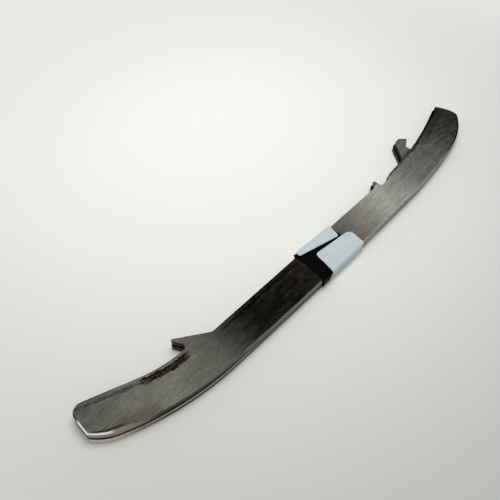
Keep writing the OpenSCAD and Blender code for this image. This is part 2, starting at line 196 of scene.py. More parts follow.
# %% Walk round the section
def walk(u, p, grow):
    """
    Point (v, z) and outward direction at length p along the section, from the start of the far top corner:
    a share of each straight, sine and cosine on each quarter turn, and then the slant at the ice edge.
    """
    near, far, low, high, rn, rf = section_sizes(u, grow)
    v_far, v_near = far - rf, near + rn
    ends = stretch_ends(grow)
    part = [(p - ends[k]) / (ends[k + 1] - ends[k]) for k in range(7)]
    turn_b, turn_d, turn_f, turn_h = (math.pi / 2 * part[k] for k in (0, 2, 4, 6))
    here = [p < end for end in ends]
    zero, one = np.zeros_like(p), np.ones_like(p)
    v = np.select(here, [
        v_far + p, v_far + rf * np.sin(turn_b), far + zero, v_far + rf * np.cos(turn_d),
        v_far + (v_near - v_far) * part[3], v_near - rn * np.sin(turn_f), near + zero,
        v_near - rn * np.cos(turn_h)], v_near + (p - ends[7]))
    z = np.select(here, [
        high + zero, high - rf + rf * np.cos(turn_b), high - rf - (high - low - 2 * rf) * part[1],
        low + rf - rf * np.sin(turn_d), low + zero, low + rn - rn * np.cos(turn_f),
        low + rn + (high - low - 2 * rn) * part[5], high - rn + rn * np.sin(turn_h)], high + zero)
    out_v = np.select(here, [zero, np.sin(turn_b), one, np.cos(turn_d), zero,
                             -np.sin(turn_f), -one, -np.cos(turn_h)], zero)
    out_z = np.select(here, [one, np.cos(turn_b), zero, -np.sin(turn_d), -one,
                             -np.cos(turn_f), zero, np.sin(turn_h)], one)
    slant = (NEAR_SLANT - SLANT_LESS * (1 - smooth(u, *SLANT_GROWS))) * (high - z) / (high - low)
    return v + slant * (1 - smooth(v, *SLANT_FADES)), z, out_v, out_z


def stand_off(u, point, lift):
    """The points (v, z, out_v, out_z) of the section at u, moved outward by lift mm, in metres."""
    v, z, out_v, out_z = point
    return part_metres(u, v + lift * out_v, z + lift * out_z)


fold_v, fold_z, _, _ = walk(np.array([PLAIN_U]), np.array([0.0]), BAND_THICK)
print("far fold starts at v, z in mm:", round(float(fold_v[0]), 2), round(float(fold_z[0]), 2))

# %% [markdown]
# ## From two grids to a closed sheet
# A sheet has an outer and an inner side. Both are grids of points with the same rows and columns, so the skin
# is one quad for each cell of each grid, and a strip of quads along the open borders closes the rim. Whole
# arrays of indices do this without a loop over the points.

# %% Build a closed sheet
SHARP_ANGLE = math.radians(50)


def quads(a, b, c, d):
    """Faces from four index arrays of one shape."""
    return np.stack([a, b, c, d], axis=-1).reshape(-1, 4)


def closed_sheet(name, outer, inner, ring):
    """Mesh object from two grids of points (rows, columns, 3); ring joins the last row to the first."""
    rows, cols = outer.shape[:2]
    top = np.arange(rows * cols).reshape(rows, cols)
    if ring:
        top = np.vstack([top, top[:1]])
    under = top + rows * cols
    faces = [quads(top[:-1, :-1], top[1:, :-1], top[1:, 1:], top[:-1, 1:]),
             quads(under[:-1, :-1], under[:-1, 1:], under[1:, 1:], under[1:, :-1]),
             quads(top[:-1, 0], under[:-1, 0], under[1:, 0], top[1:, 0]),
             quads(top[:-1, -1], top[1:, -1], under[1:, -1], under[:-1, -1])]
    if not ring:
        faces += [quads(top[0, :-1], top[0, 1:], under[0, 1:], under[0, :-1]),
                  quads(top[-1, :-1], under[-1, :-1], under[-1, 1:], top[-1, 1:])]
    points = np.concatenate([outer.reshape(-1, 3), inner.reshape(-1, 3)])
    mesh = bpy.data.meshes.new(name)
    mesh.from_pydata(points.tolist(), [], np.concatenate(faces).tolist())
    mesh.validate()
    mesh.shade_smooth()
    mesh.set_sharp_from_angle(angle=SHARP_ANGLE)
    made = bpy.data.objects.new(name, mesh)
    bpy.context.collection.objects.link(made)
    print(name, len(mesh.vertices), "points,", len(mesh.polygons), "faces")
    return made


# %% [markdown]
# ## The black tape
# The tape is wound round the plates and torn off by hand. It could be a plain sleeve, but then its edges
# would be ruler-straight. Here each row of the grid runs along the runners, the rows go round the section,
# and the two borders wander by a tenth or two of a millimetre. The torn border runs out toward the heel at
# the ice edge.

# %% Grid of the tape
BAND_ROWS, BAND_COLUMNS = 360, 57
# This power crowds the columns toward the torn border
BAND_CROWDING = 1.25
# Waves of the borders: reach in mm, number in one turn, phase
BORDER_WAVES = ((0.12, 7, 0), (0.08, 23, 1))
# How far the torn border runs out, over which v and z, and how far it lies back elsewhere
SKEW, SKEW_V, SKEW_Z, SKEW_BACK = 1.9, (-6, 16), (1, 7), 0.3
around = np.linspace(0, 1, BAND_ROWS + 1)[:-1, None]
along = np.linspace(0, 1, BAND_COLUMNS)[None, :] ** BAND_CROWDING
wander = sum(reach * np.sin(2 * math.pi * waves * around + phase) for reach, waves, phase in BORDER_WAVES)
band_p = around * loop_length(BAND_THICK) + 0 * along
plain_v, plain_z, _, _ = walk(PLAIN_U + 0 * band_p, band_p, BAND_THICK)
skew = SKEW * (1 - smooth(plain_v, *SKEW_V)) * smooth(plain_z, *SKEW_Z) - SKEW_BACK
band_u = BAND_START + BAND_WIDTH * along + wander * (1 - 2 * along) - skew * (1 - along) ** 2
print("torn border lies at u in mm:", round(band_u[:, 0].min(), 2), "to", round(band_u[:, 0].max(), 2))

# %% [markdown]
# At the far corner of the torn border a few points of tape stand out from the fold. A bell curve along the
# section and a fade along the tape keep the fray in its corner, and a sine cuts it into points. The underside
# stays flat, because the bundle rests on it.

# %% Fray the torn corner and make the tape
# Height of the fray, its middle and width along the section, and its fade along the tape
FRAY_HEIGHT, FRAY_MIDDLE, FRAY_WIDTH, FRAY_FADES = 1.35, 0.5, 1.1, (0.4, 3.2)
# Points of the fray: mean, swing, radians per mm and phase; and how far they lean toward the heel
FRAY_MEAN, FRAY_SWING, FRAY_TURN, FRAY_PHASE, FRAY_LEAN = 0.55, 0.45, 5.2, 0.6, 0.2
# Creases: height, spacing, and radians in one turn for their slope and their length
CREASE_HEIGHT, CREASE_SPACING, CREASE_SLOPE, CREASE_BREAKS = 0.02, 3.4, 9, 40
# Heights over which any lift grows from nothing
LIFT_FROM = (0.5, 2)
band_point = walk(band_u, band_p, BAND_THICK)
at_corner = np.exp(-((band_p - FRAY_MIDDLE) / FRAY_WIDTH) ** 2)
at_border = 1 - smooth(band_u - BAND_START, *FRAY_FADES)
fray_points = FRAY_MEAN + FRAY_SWING * np.sin(FRAY_TURN * band_p + FRAY_PHASE)
fray = FRAY_HEIGHT * at_corner * at_border * fray_points
crease_run = np.sin(2 * math.pi * band_u / CREASE_SPACING + CREASE_SLOPE * around)
crease = CREASE_HEIGHT * np.abs(crease_run * np.sin(CREASE_BREAKS * around))
band_lift = fray + crease * smooth(band_point[1], *LIFT_FROM)
frayed_u = band_u - FRAY_LEAN * fray
band_outer = stand_off(frayed_u, band_point, band_lift)
band_inner = stand_off(frayed_u, band_point, band_lift - BAND_THICK)
tape = closed_sheet("tape_wrap", band_outer, band_inner, ring=True)

# %% [markdown]
# ## The white label
# The label is one straight strip of film: it starts with a short flap on the upper face, goes round the far
# edge, below the plates, round the ice edge and ends in a long flap. As it isn't wound square, its flaps lie
# askew and leave a wedge of tape bare between them. In the flat, a point has a place a across the strip and b
# along it. The strip's heading turns a little on the way, so its middle line is a running sum of the heading.

# %% Middle line of the label
FAR_FLAP, NEAR_FLAP = 4.6, 10.9
LABEL_START = 10.4
LABEL_STAND = BAND_THICK + LABEL_THICK + CLEAR
# Heading at the start in degrees, and its changes: by how much, from where to where along the strip
HEADING, HEADING_CHANGES = 14, ((-11, 5, 14), (10.5, 33, 42))
# The line is summed in fine steps and goes on past the end of the strip
LINE_END, LINE_POINTS = 80, 1601
line_b = np.linspace(0, LINE_END, LINE_POINTS)
line_heading = HEADING + sum(change * smooth(line_b, start, stop) for change, start, stop in HEADING_CHANGES)
line_heading = np.radians(line_heading)
line_step = np.diff(line_b, prepend=0)
line_u = LABEL_START + np.cumsum(np.sin(line_heading) * line_step)
line_p = -FAR_FLAP + np.cumsum(np.cos(line_heading) * line_step)
label_length = float(np.interp(stretch_ends(LABEL_STAND)[-1] + NEAR_FLAP, line_p, line_b))
print("label in the flat, mm:", LABEL_WIDTH, "by", round(label_length, 1))

# %% [markdown]
# Both ends of the strip have round corners. The near end isn't cut square: it gets longer toward the toe, and
# wider on the heel side but narrower on the toe side, where its corner is the roundest.

# %% Flat pattern of the label
LABEL_ROWS, LABEL_COLUMNS = 241, 61
FAR_CORNER = 1.2
# For the heel side and the toe side of the near end: radius of the corner, and how much wider the strip gets
NEAR_SIDES = ((1.7, 0.5), (3.2, -0.7))
# How much longer the near end gets per mm toward the toe, and the stretch that gets wider and longer
NEAR_CUT, NEAR_STRETCH = 0.125, 12
row_share = np.linspace(0, 1, LABEL_ROWS)
row_b = label_length * (0.5 * row_share + 0.25 * (1 - np.cos(np.pi * row_share)))
at_near_end = smooth(row_b, label_length - NEAR_STRETCH, label_length)
half_widths = []
for near_corner, flare in NEAR_SIDES:
    half = LABEL_WIDTH / 2 + flare * at_near_end
    for gone, corner in ((row_b, FAR_CORNER), (label_length - row_b, near_corner)):
        inside = np.clip(corner - gone, 0, None)
        half = half - (corner - np.sqrt(np.clip(corner ** 2 - inside ** 2, 0, None)))
    half_widths.append(half[:, None])
a = -half_widths[0] + (half_widths[0] + half_widths[1]) * np.linspace(0, 1, LABEL_COLUMNS)[None, :]
b = row_b[:, None] + NEAR_CUT * a * at_near_end[:, None]
print("rows and columns:", a.shape)

# %% [markdown]
# Film that is stuck down still lifts a little at its ends and ripples over the tape. Past the tape's border
# it steps down to the steel.

# %% Wrap the label round the tape
# From where to where the label steps down, in mm past the tape's border
STEP_DOWN = (-0.1, 1.2)
# Lift of each end: its height, and the length over which it dies away
FAR_LIFT, FAR_LIFT_FADE = 0.1, 1.2
NEAR_LIFT, NEAR_LIFT_FADE = 0.12, 1.5
# Ripples: height, and mm per radian along the runner and round it
RIPPLE_HEIGHT, RIPPLE_ALONG, RIPPLE_ROUND = 0.03, 2.1, 1.7
heading = np.interp(b, line_b, line_heading)
label_u = np.interp(b, line_b, line_u) + a * np.cos(heading)
label_p = np.interp(b, line_b, line_p) - a * np.sin(heading)
label_point = walk(label_u, label_p, LABEL_STAND)
past_tape = smooth(label_u - BAND_START - BAND_WIDTH, *STEP_DOWN)
far_lift = FAR_LIFT * np.exp(-row_b / FAR_LIFT_FADE)
end_lift = far_lift + NEAR_LIFT * np.exp((row_b - label_length) / NEAR_LIFT_FADE)
ripple = RIPPLE_HEIGHT * np.abs(np.sin(label_u / RIPPLE_ALONG) * np.sin(label_p / RIPPLE_ROUND + 1) ** 2)
label_lift = (end_lift[:, None] + ripple) * smooth(label_point[1], *LIFT_FROM) - BAND_THICK * past_tape
label_outer = stand_off(label_u, label_point, label_lift)
label_inner = stand_off(label_u, label_point, label_lift - LABEL_THICK)
label = closed_sheet("label_wrap", label_outer, label_inner, ring=False)

# %% [markdown]
# ## Worn runner steel
# A runner is stamped from stainless strip and ground on a belt, so its faces carry fine scratches along its
# length. The ice edge is ground by a wheel; the other cut edges keep a dark skin. Years of wet leave brown
# stains below the top edge and dirt between the plates. The colours also hold painted light: painted
# reflection along the runner, painted highlights and shadow lines at the heel, and painted shade between the
# plates and along the toe's top edge. All of this depends only on the place on the steel and on which way it
# faces, so object coordinates and the normal are enough, and one material serves both runners.

# %% Steel: where on the runner
steel, tree = new_material("ground_stainless_steel")
place = add(tree, "ShaderNodeTexCoord").outputs["Object"]
x_place, y_place, z_place = add(tree, "ShaderNodeSeparateXYZ", None, Vector=place).outputs
normal = add(tree, "ShaderNodeNewGeometry").outputs["Normal"]
x_facing, y_facing, z_facing = add(tree, "ShaderNodeSeparateXYZ", None, Vector=normal).outputs
heel_x, toe_x = (HEEL_U - RUNNER_MIDDLE[0]) * MM, (TOE_U - RUNNER_MIDDLE[0]) * MM
share = add(tree, "ShaderNodeMapRange", None, Value=x_place, From_Min=heel_x, From_Max=toe_x).outputs[0]


def share_of(u):
    """Place along the runner from 0 at the heel to 1 at the toe."""
    return (u - HEEL_U) / (TOE_U - HEEL_U)


print("heel and toe at x in mm:", round(heel_x / MM, 1), round(toe_x / MM, 1))

# %% [markdown]
# The steel isn't equally bright along its length: it is pale behind and in front, stained beside the tape,
# and dark at the toe. Part of this is painted reflection of the room: the darkening beside the tape, the
# bright stretch near u 59 and the dark toe. The two ice edges differ: the upper one is brown at the heel and
# nearly black after it, and the lower one is white there as a painted highlight. Further on, both edges are
# kept dark, partly as painted reflection of the shaded board beside them. A colour ramp holds each run of
# tones.

# %% Steel: tones along the runner, partly painted reflection
# Each stop is a place u and its tone
# The face's darkening beside the tape, its bright stretch near u 59 and its dark toe are painted reflection
FACE_TONES_AND_REFLECTION = [(-130, "#aaa99d"), (-66, "#adac9f"), (-49, "#75726a"), (-40, "#68655a"), (-22, "#837e6a"),
              (-6, "#79745f"), (26, "#a6a497"), (42, "#aaa89c"), (59, "#c6c6bb"), (72, "#bebeb4"),
              (80, "#b6b6ac"), (88, "#a3a39a"), (97, "#b3b3aa"), (112, "#b0b0a7"), (126, "#8c8c85"),
              (138, "#7b7b74"), (144, "#6c6c66"), (150, "#62625c")]
# Upper ice edge: its dark tones are partly painted reflection of the shaded board beside it
UPPER_ICE_AND_REFLECTION = [(-130, "#958b7f"), (-118, "#8b8175"), (-113, "#857f73"), (-104, "#1f1a14"), (-66, "#14110e"),
             (-50, "#56544e"), (-5, "#5e5c55"), (25, "#817f7a"), (90, "#7b7974"), (106, "#353431"),
             (122, "#161513")]
# Lower ice edge: the white at the heel is a painted highlight; its darker tones further on are partly painted
# reflection of the shaded board
LOWER_ICE_GLINT_AND_REFLECTION = [(-130, "#f2f0ea"), (-121, "#dcd9d0"), (-112, "#96938b"), (-100, "#aeaba3"), (-64, "#a3a199"),
             (-48, "#5a5750"), (-5, "#3b3831"), (25, "#918f8a"), (90, "#8a8883"), (106, "#393835"),
             (122, "#1a1917")]
tones = {}
for which, stops in (("face", FACE_TONES_AND_REFLECTION), ("upper ice edge", UPPER_ICE_AND_REFLECTION), ("lower ice edge", LOWER_ICE_GLINT_AND_REFLECTION)):
    ramp = add(tree, "ShaderNodeValToRGB", None, Fac=share)
    set_ramp(ramp, [(share_of(u), linear(colour)) for u, colour in stops])
    tones[which] = ramp.outputs[0]
print("tones along the runner:", ", ".join(tones))

# %% [markdown]
# Wear is drawn in layers of noise, each stretched to the size of what it stands for: belt grain, small
# specks, cloudy marks and broad blotches. Real belt lines are about 0.05 mm wide, too fine for the picture,
# so they are drawn eight times coarser. Each layer scales the tone a little up and down, and the layers
# multiply.

# %% Steel: layers of wear
# Each layer: length and width in mm, detail, and the darkest and lightest factor
WEAR = {"grain": (6.0, 0.4, 2.0, 0.82, 1.18),
        "speck": (1.2, 0.8, 3.0, 0.86, 1.14),
        "cloud": (5.0, 2.2, 4.0, 0.87, 1.13),
        "blotch": (17.0, 6.0, 5.0, 0.86, 1.14)}
# Noise keeps mostly to this span
NOISE_LOW, NOISE_HIGH = 0.3, 0.7
marks = {}
wear_and_painted_light = tones["face"]
for layer, (length, width, detail, darkest, lightest) in WEAR.items():
    spread = add(tree, "ShaderNodeMapping", None, Vector=place,
                 Scale=(1 / (length * MM), 1 / (width * MM), 1 / (width * MM))).outputs[0]
    marks[layer] = add(tree, "ShaderNodeTexNoise", None, Vector=spread, Scale=1.0, Detail=detail,
                       Roughness=0.6).outputs[0]
    level = add(tree, "ShaderNodeMapRange", None, Value=marks[layer], From_Min=NOISE_LOW, From_Max=NOISE_HIGH,
                To_Min=darkest, To_Max=lightest).outputs[0]
    wear_and_painted_light = add(tree, "ShaderNodeMix", {"data_type": "RGBA", "blend_type": "MULTIPLY"}, i0=1.0, i6=wear_and_painted_light,
               i7=level).outputs[2]
print("layers of wear:", ", ".join(WEAR))

# %% Steel: long scratches across the grain
# Each direction: angle in degrees, length and width in mm
SCRATCHES = [(32, 16.0, 0.45), (-24, 22.0, 0.4), (74, 9.0, 0.5)]
# Only the peaks of the noise are scratches, and they are brighter by this factor
SCRATCH_FROM, SCRATCH_FULL, SCRATCH_FACTOR = 0.62, 0.74, 1.16
for angle, length, width in SCRATCHES:
    spread = add(tree, "ShaderNodeMapping", {"vector_type": "TEXTURE"}, Vector=place,
                 Rotation=(0, 0, math.radians(angle)), Scale=(length * MM, width * MM, width * MM)).outputs[0]
    line = add(tree, "ShaderNodeTexNoise", None, Vector=spread, Scale=1.0, Detail=1.0).outputs[0]
    scratch = add(tree, "ShaderNodeMapRange", None, Value=line, From_Min=SCRATCH_FROM, From_Max=SCRATCH_FULL,
                  To_Min=1.0, To_Max=SCRATCH_FACTOR).outputs[0]
    wear_and_painted_light = add(tree, "ShaderNodeMix", {"data_type": "RGBA", "blend_type": "MULTIPLY"}, i0=1.0, i6=wear_and_painted_light,
               i7=scratch).outputs[2]
print("directions of scratches:", len(SCRATCHES))

# %% [markdown]
# Stains follow the top edge, which falls from the heel to a ledge, runs level and rises to the toe. A curve
# node holds that height with a handful of points, and another one holds the ice edge. The depth below the top
# edge places the stains. The cloudy marks and the specks shift the depth, so that a stain's border is ragged.

# %% Steel: places of the top edge and the ice edge
# Each point is a place u and the edge's height v there
TOP_EDGE = [(-130.7, 37.0), (-101, 25.5), (-88, 22.0), (-76, 20.8), (-62, 18.4), (62, 18.4), (107, 22.0),
            (120, 24.75), (130, 27.2), (140, 30.0), (151.4, 33.6)]
ICE_EDGE = [(-130.7, 21.0), (-128, 17.8), (-124, 14.6), (-110, 8.6), (-101, 5.8), (-88, 2.9), (-76, 1.3),
            (-62, 0.6), (0, 0.0), (60, 0.55), (84, 1.15), (107, 3.2), (120, 5.1), (130, 7.1), (140, 11.1),
            (151.4, 19.0)]
# The curve node works from 0 to 1, which stands for this height in mm
EDGE_RANGE = 40.0
edge_y = {}
for which, points in (("top", TOP_EDGE), ("ice", ICE_EDGE)):
    edge = add(tree, "ShaderNodeFloatCurve", None, Value=share)
    curve = edge.mapping.curves[0]
    for index in (0, -1):
        curve.points[index].location = (share_of(points[index][0]), points[index][1] / EDGE_RANGE)
    for u, v in points[1:-1]:
        curve.points.new(share_of(u), v / EDGE_RANGE)
    for point in curve.points:
        point.handle_type = "VECTOR"
    edge.mapping.update()
    edge_y[which] = add(tree, "ShaderNodeMath", {"operation": "MULTIPLY_ADD"}, i0=edge.outputs[0],
                        i1=EDGE_RANGE * MM, i2=-RUNNER_MIDDLE[1] * MM).outputs[0]
print("edges held by", len(TOP_EDGE), "and", len(ICE_EDGE), "points")

# %% Steel: distances from the edges
# How far each layer of wear shifts the depth, in mm
RAGGED = {"cloud": 3.0, "speck": 2.4}
depth = add(tree, "ShaderNodeMath", {"operation": "SUBTRACT"}, i0=edge_y["top"], i1=y_place).outputs[0]
above_ice = add(tree, "ShaderNodeMath", {"operation": "SUBTRACT"}, i0=y_place, i1=edge_y["ice"]).outputs[0]
ragged_depth = depth
for layer, reach in RAGGED.items():
    shift = add(tree, "ShaderNodeMath", {"operation": "MULTIPLY_ADD"}, i0=marks[layer], i1=reach * MM,
                i2=-reach / 2 * MM).outputs[0]
    ragged_depth = add(tree, "ShaderNodeMath", {"operation": "ADD"}, i0=ragged_depth, i1=shift).outputs[0]
print("depth is shifted by:", ", ".join(RAGGED))

# %% [markdown]
# A stain is a soft window along the runner times one below the top edge. The patch of rust near the rear hook
# is four of them: brown inside, black along both borders, and black spots. Specks break up most stains. The
# black band along the toe's top edge is drawn the same way, but it is painted shadow.


# %% Steel: stains
def window(value, first, last, soft):
    """1 where a value is between first and last mm, fading out over soft mm on both sides."""
    rise = add(tree, "ShaderNodeMapRange", {"interpolation_type": "SMOOTHSTEP"}, Value=value,
               From_Min=(first - soft) * MM, From_Max=first * MM).outputs[0]
    fall = add(tree, "ShaderNodeMapRange", {"interpolation_type": "SMOOTHSTEP"}, Value=value,
               From_Min=last * MM, From_Max=(last + soft) * MM, To_Min=1.0, To_Max=0.0).outputs[0]
    return add(tree, "ShaderNodeMath", {"operation": "MULTIPLY"}, i0=rise, i1=fall).outputs[0]


# Each stain: start and stop in u, shallow and deep border below the top edge, softness, colour, strength,
# and the share of it that is missing between the specks
STAINS_AND_PAINTED_SHADOW = [(-127, -108, 2.2, 3.0, 0.7, "#1d1a16", 0.6, 0.5),
          (-97, -80, 1.7, 4.7, 0.4, "#46321d", 0.95, 0.15),
          (-98, -80, 1.5, 2.2, 0.3, "#0b0805", 0.95, 0.3),
          (-96, -81, 4.2, 4.8, 0.3, "#0b0805", 0.9, 0.5),
          (-99, -79, 2.2, 4.2, 0.4, "#0d0a06", 0.75, 1.0),
          (-108, -96, 2.4, 3.6, 0.5, "#1d1710", 0.8, 1.0),
          (-116, -104, 17, 21, 3.5, "#7d5f42", 0.4, 0.0),
          (-56, -8, 2.4, 3.2, 0.3, "#070605", 0.92, 0.25),
          (78, 112, -0.2, 1.7, 0.5, "#1b1915", 0.92, 0.4),
          # Painted shadow: black along the toe's top edge
          (112, 152, -0.5, 1.1, 0.4, "#060605", 0.97, 0.2),
          (116, 152, 2.0, 4.0, 2.5, "#242322", 0.5, 0.4)]
STAIN_FADE = 5
SPECK_FROM, SPECK_FULL = 0.46, 0.56
for start, stop, shallow, deep, soft, colour, most, broken in STAINS_AND_PAINTED_SHADOW:
    along_stain = window(x_place, start - RUNNER_MIDDLE[0], stop - RUNNER_MIDDLE[0], STAIN_FADE)
    down_stain = window(ragged_depth, shallow, deep, soft)
    stain = add(tree, "ShaderNodeMath", {"operation": "MULTIPLY"}, i0=along_stain, i1=down_stain).outputs[0]
    strength = add(tree, "ShaderNodeMapRange", None, Value=marks["speck"], From_Min=SPECK_FROM,
                   From_Max=SPECK_FULL, To_Min=most * (1 - broken), To_Max=most).outputs[0]
    stain = add(tree, "ShaderNodeMath", {"operation": "MULTIPLY"}, i0=stain, i1=strength).outputs[0]
    wear_and_painted_light = add(tree, "ShaderNodeMix", {"data_type": "RGBA"}, i0=stain, i6=wear_and_painted_light, i7=linear(colour)).outputs[2]
print("stains:", len(STAINS_AND_PAINTED_SHADOW))

# %% [markdown]
# The heel end is a shallow arc with a round corner at its top. The distance from that outline needs no curve
# node: an arc is nearly a parabola here, and the distance from a round corner is its radius less the length
# of what is missing to the radius from both sides.

# %% Steel: distance from the outline of the heel
# Height at which the heel end reaches out furthest, its radius, and that of its top corner
HEEL_END_V, HEEL_END_RADIUS, HEEL_TOP_ROUND = 21.0, 60.0, 4.5
up_end = add(tree, "ShaderNodeMath", {"operation": "SUBTRACT"}, i0=y_place,
             i1=(HEEL_END_V - RUNNER_MIDDLE[1]) * MM).outputs[0]
bulge = add(tree, "ShaderNodeMath", {"operation": "MULTIPLY"}, i0=up_end, i1=up_end).outputs[0]
past_heel = add(tree, "ShaderNodeMath", {"operation": "SUBTRACT"}, i0=x_place, i1=heel_x).outputs[0]
from_end = add(tree, "ShaderNodeMath", {"operation": "MULTIPLY_ADD"}, i0=bulge,
               i1=-0.5 / (HEEL_END_RADIUS * MM), i2=past_heel).outputs[0]
missing = [add(tree, "ShaderNodeMath", {"operation": "SUBTRACT", "use_clamp": True}, i0=HEEL_TOP_ROUND * MM,
               i1=distance).outputs[0] for distance in (from_end, depth)]
both = add(tree, "ShaderNodeCombineXYZ", None, X=missing[0], Y=missing[1]).outputs[0]
missing_length = add(tree, "ShaderNodeVectorMath", {"operation": "LENGTH"}, i0=both).outputs["Value"]
from_outline = add(tree, "ShaderNodeMath", {"operation": "SUBTRACT"}, i0=HEEL_TOP_ROUND * MM,
                   i1=missing_length).outputs[0]
print("heel end: radius", HEEL_END_RADIUS, "mm, corner", HEEL_TOP_ROUND, "mm")

# %% [markdown]
# Sharpening leaves a bright burr on the face along the ice edge, thin beside the tape. At the heel it is
# drawn wide and white as a painted highlight, with a painted shadow line above it; the heel end has a painted
# highlight too, and a painted shadow at its top corner. The toe's borders are black, along its top edge as
# painted shadow, and the tooth is darker. The burr is too small to show its round form, which catches light
# from all sides, so its glint is drawn as a pale line that isn't metal.

# %% Steel: marks, painted highlights and painted shadows along the borders of the face
# Each mark: border, start and stop along it in u or v, nearest and farthest distance from it, colour,
# strength, and how much of it is painted glint, which isn't metal
# The first mark is a painted highlight: white glint along the heel's ice edge
BORDER_MARKS_AND_PAINTED_LIGHT = [("ice", -131, -124, -1.0, 0.9, "#fbfaf6", 1.0, 0.95),
                # Painted highlight: a fainter, brownish glint further along the heel
                ("ice", -122, -116, -1.0, 0.5, "#b3a692", 0.7, 0.6),
                # Painted shadow line above the heel's glint
                ("ice", -127, -119, 1.4, 2.2, "#16130f", 0.75, 0.0),
                ("ice", -58, 4, -1.0, 0.3, "#f1f0ea", 0.6, 0.0),
                ("ice", 20, 108, -1.0, 0.3, "#f1f0ea", 0.35, 0.0),
                ("ice", 120, 152, -1.0, 0.5, "#0a0a09", 0.9, 0.0),
                # Painted shadow: black along the toe's top edge
                ("top", 116, 152, -1.0, 0.6, "#050504", 0.95, 0.0),
                ("top", 62, 82, -9.0, -0.6, "#4b4a44", 0.7, 0.0),
                # Painted shadow along the heel's top corner
                ("top corner", 30.5, 40, -1.0, 0.4, "#12100d", 0.9, 0.0),
                # Painted highlight: white glint on the heel end
                ("end", 15, 27, -1.0, 0.6, "#fbfaf6", 0.95, 0.95)]
MARK_FADE, MARK_SOFT = 3, 0.3
borders = {"ice": (x_place, RUNNER_MIDDLE[0], above_ice),
           "top": (x_place, RUNNER_MIDDLE[0], depth),
           "end": (y_place, RUNNER_MIDDLE[1], from_end),
           "top corner": (y_place, RUNNER_MIDDLE[1], from_outline)}
# Share of painted glint on the face, drawn as non-metal
painted_glint = 0.0
for border, start, stop, nearest, farthest, colour, most, glint_share in BORDER_MARKS_AND_PAINTED_LIGHT:
    border_place, middle, distance = borders[border]
    along_mark = window(border_place, start - middle, stop - middle, MARK_FADE)
    across_mark = window(distance, nearest, farthest, MARK_SOFT)
    mark = add(tree, "ShaderNodeMath", {"operation": "MULTIPLY"}, i0=along_mark, i1=across_mark).outputs[0]
    mark = add(tree, "ShaderNodeMath", {"operation": "MULTIPLY"}, i0=mark, i1=most).outputs[0]
    wear_and_painted_light = add(tree, "ShaderNodeMix", {"data_type": "RGBA"}, i0=mark, i6=wear_and_painted_light, i7=linear(colour)).outputs[2]
    painted_glint = add(tree, "ShaderNodeMath", {"operation": "MULTIPLY_ADD"}, i0=mark, i1=glint_share,
               i2=painted_glint).outputs[0]
print("marks along borders:", len(BORDER_MARKS_AND_PAINTED_LIGHT))

# %% [markdown]
# A runner's cut edges differ from its faces, and the normal tells them apart. The ice edge, and the heel end
# with it, has its own tones, which differ between the two runners; the height tells these apart. The ice edge
# lies deep below the top edge, so the ends of the hooks, which face the same way, aren't taken for it. The
# foot of the lower runner's edge is darker in its rear half.

# %% Steel: the ice edge
# Height of the middle of the gap at the toe, and the heights over which the foot of the edge darkens, in mm
GAP_MIDDLE, FOOT_FROM, FOOT_FULL = 3.57, 2.2, 1.4
REAR_HALF, REAR_FADE, FOOT_TONE = (-100, 5), 12, "#1d1a16"
# Components of the normal at which a surface starts and fully counts as ice edge and as heel end
ICE_FACING, HEEL_FACING = (0.05, -0.15), (-0.2, -0.5)
# Depths below the top edge where the ice edge begins, and the reach of the heel end along u
DEEP_FROM, DEEP_FULL, HEEL_REACH = 5, 7, 8
is_upper = add(tree, "ShaderNodeMath", {"operation": "GREATER_THAN"}, i0=z_place,
               i1=GAP_MIDDLE * MM).outputs[0]
rear_half = window(x_place, REAR_HALF[0] - RUNNER_MIDDLE[0], REAR_HALF[1] - RUNNER_MIDDLE[0], REAR_FADE)
foot = add(tree, "ShaderNodeMapRange", {"interpolation_type": "SMOOTHSTEP"}, Value=z_place,
           From_Min=FOOT_FROM * MM, From_Max=FOOT_FULL * MM).outputs[0]
foot = add(tree, "ShaderNodeMath", {"operation": "MULTIPLY"}, i0=foot, i1=rear_half).outputs[0]
lower_ice_tone = add(tree, "ShaderNodeMix", {"data_type": "RGBA"}, i0=foot, i6=tones["lower ice edge"],
                     i7=linear(FOOT_TONE)).outputs[2]
ice_tone = add(tree, "ShaderNodeMix", {"data_type": "RGBA"}, i0=is_upper, i6=lower_ice_tone,
               i7=tones["upper ice edge"]).outputs[2]
faces_ice = add(tree, "ShaderNodeMapRange", {"interpolation_type": "SMOOTHSTEP"}, Value=y_facing,
                From_Min=ICE_FACING[0], From_Max=ICE_FACING[1]).outputs[0]
faces_heel = add(tree, "ShaderNodeMapRange", {"interpolation_type": "SMOOTHSTEP"}, Value=x_facing,
                 From_Min=HEEL_FACING[0], From_Max=HEEL_FACING[1]).outputs[0]
at_heel = add(tree, "ShaderNodeMath", {"operation": "LESS_THAN"}, i0=x_place,
              i1=heel_x + HEEL_REACH * MM).outputs[0]
faces_heel = add(tree, "ShaderNodeMath", {"operation": "MULTIPLY"}, i0=faces_heel, i1=at_heel).outputs[0]
faces_out = add(tree, "ShaderNodeMath", {"operation": "MAXIMUM"}, i0=faces_ice, i1=faces_heel).outputs[0]
lies_deep = add(tree, "ShaderNodeMapRange", None, Value=depth, From_Min=DEEP_FROM * MM,
                From_Max=DEEP_FULL * MM).outputs[0]
is_ice = add(tree, "ShaderNodeMath", {"operation": "MULTIPLY"}, i0=faces_out, i1=lies_deep).outputs[0]
print("ice edge counts from", DEEP_FROM, "mm below the top edge")

# %% [markdown]
# The other cut edges have a dark skin with specks of rust, darker toward the toe. The two faces that look at
# each other across the gap are dark brown: old dirt, and painted shade between the plates. A face looks up on
# the upper runner and down on the lower one, so the sign of the normal is turned round on the lower one.

# %% Steel: cut edges and gap
CUT_SKIN, CUT_RUST, GAP_DIRT_AND_SHADE = "#3a3732", "#6b4d30", "#1b1611"
RUST_FROM, RUST_FULL = 0.45, 0.65
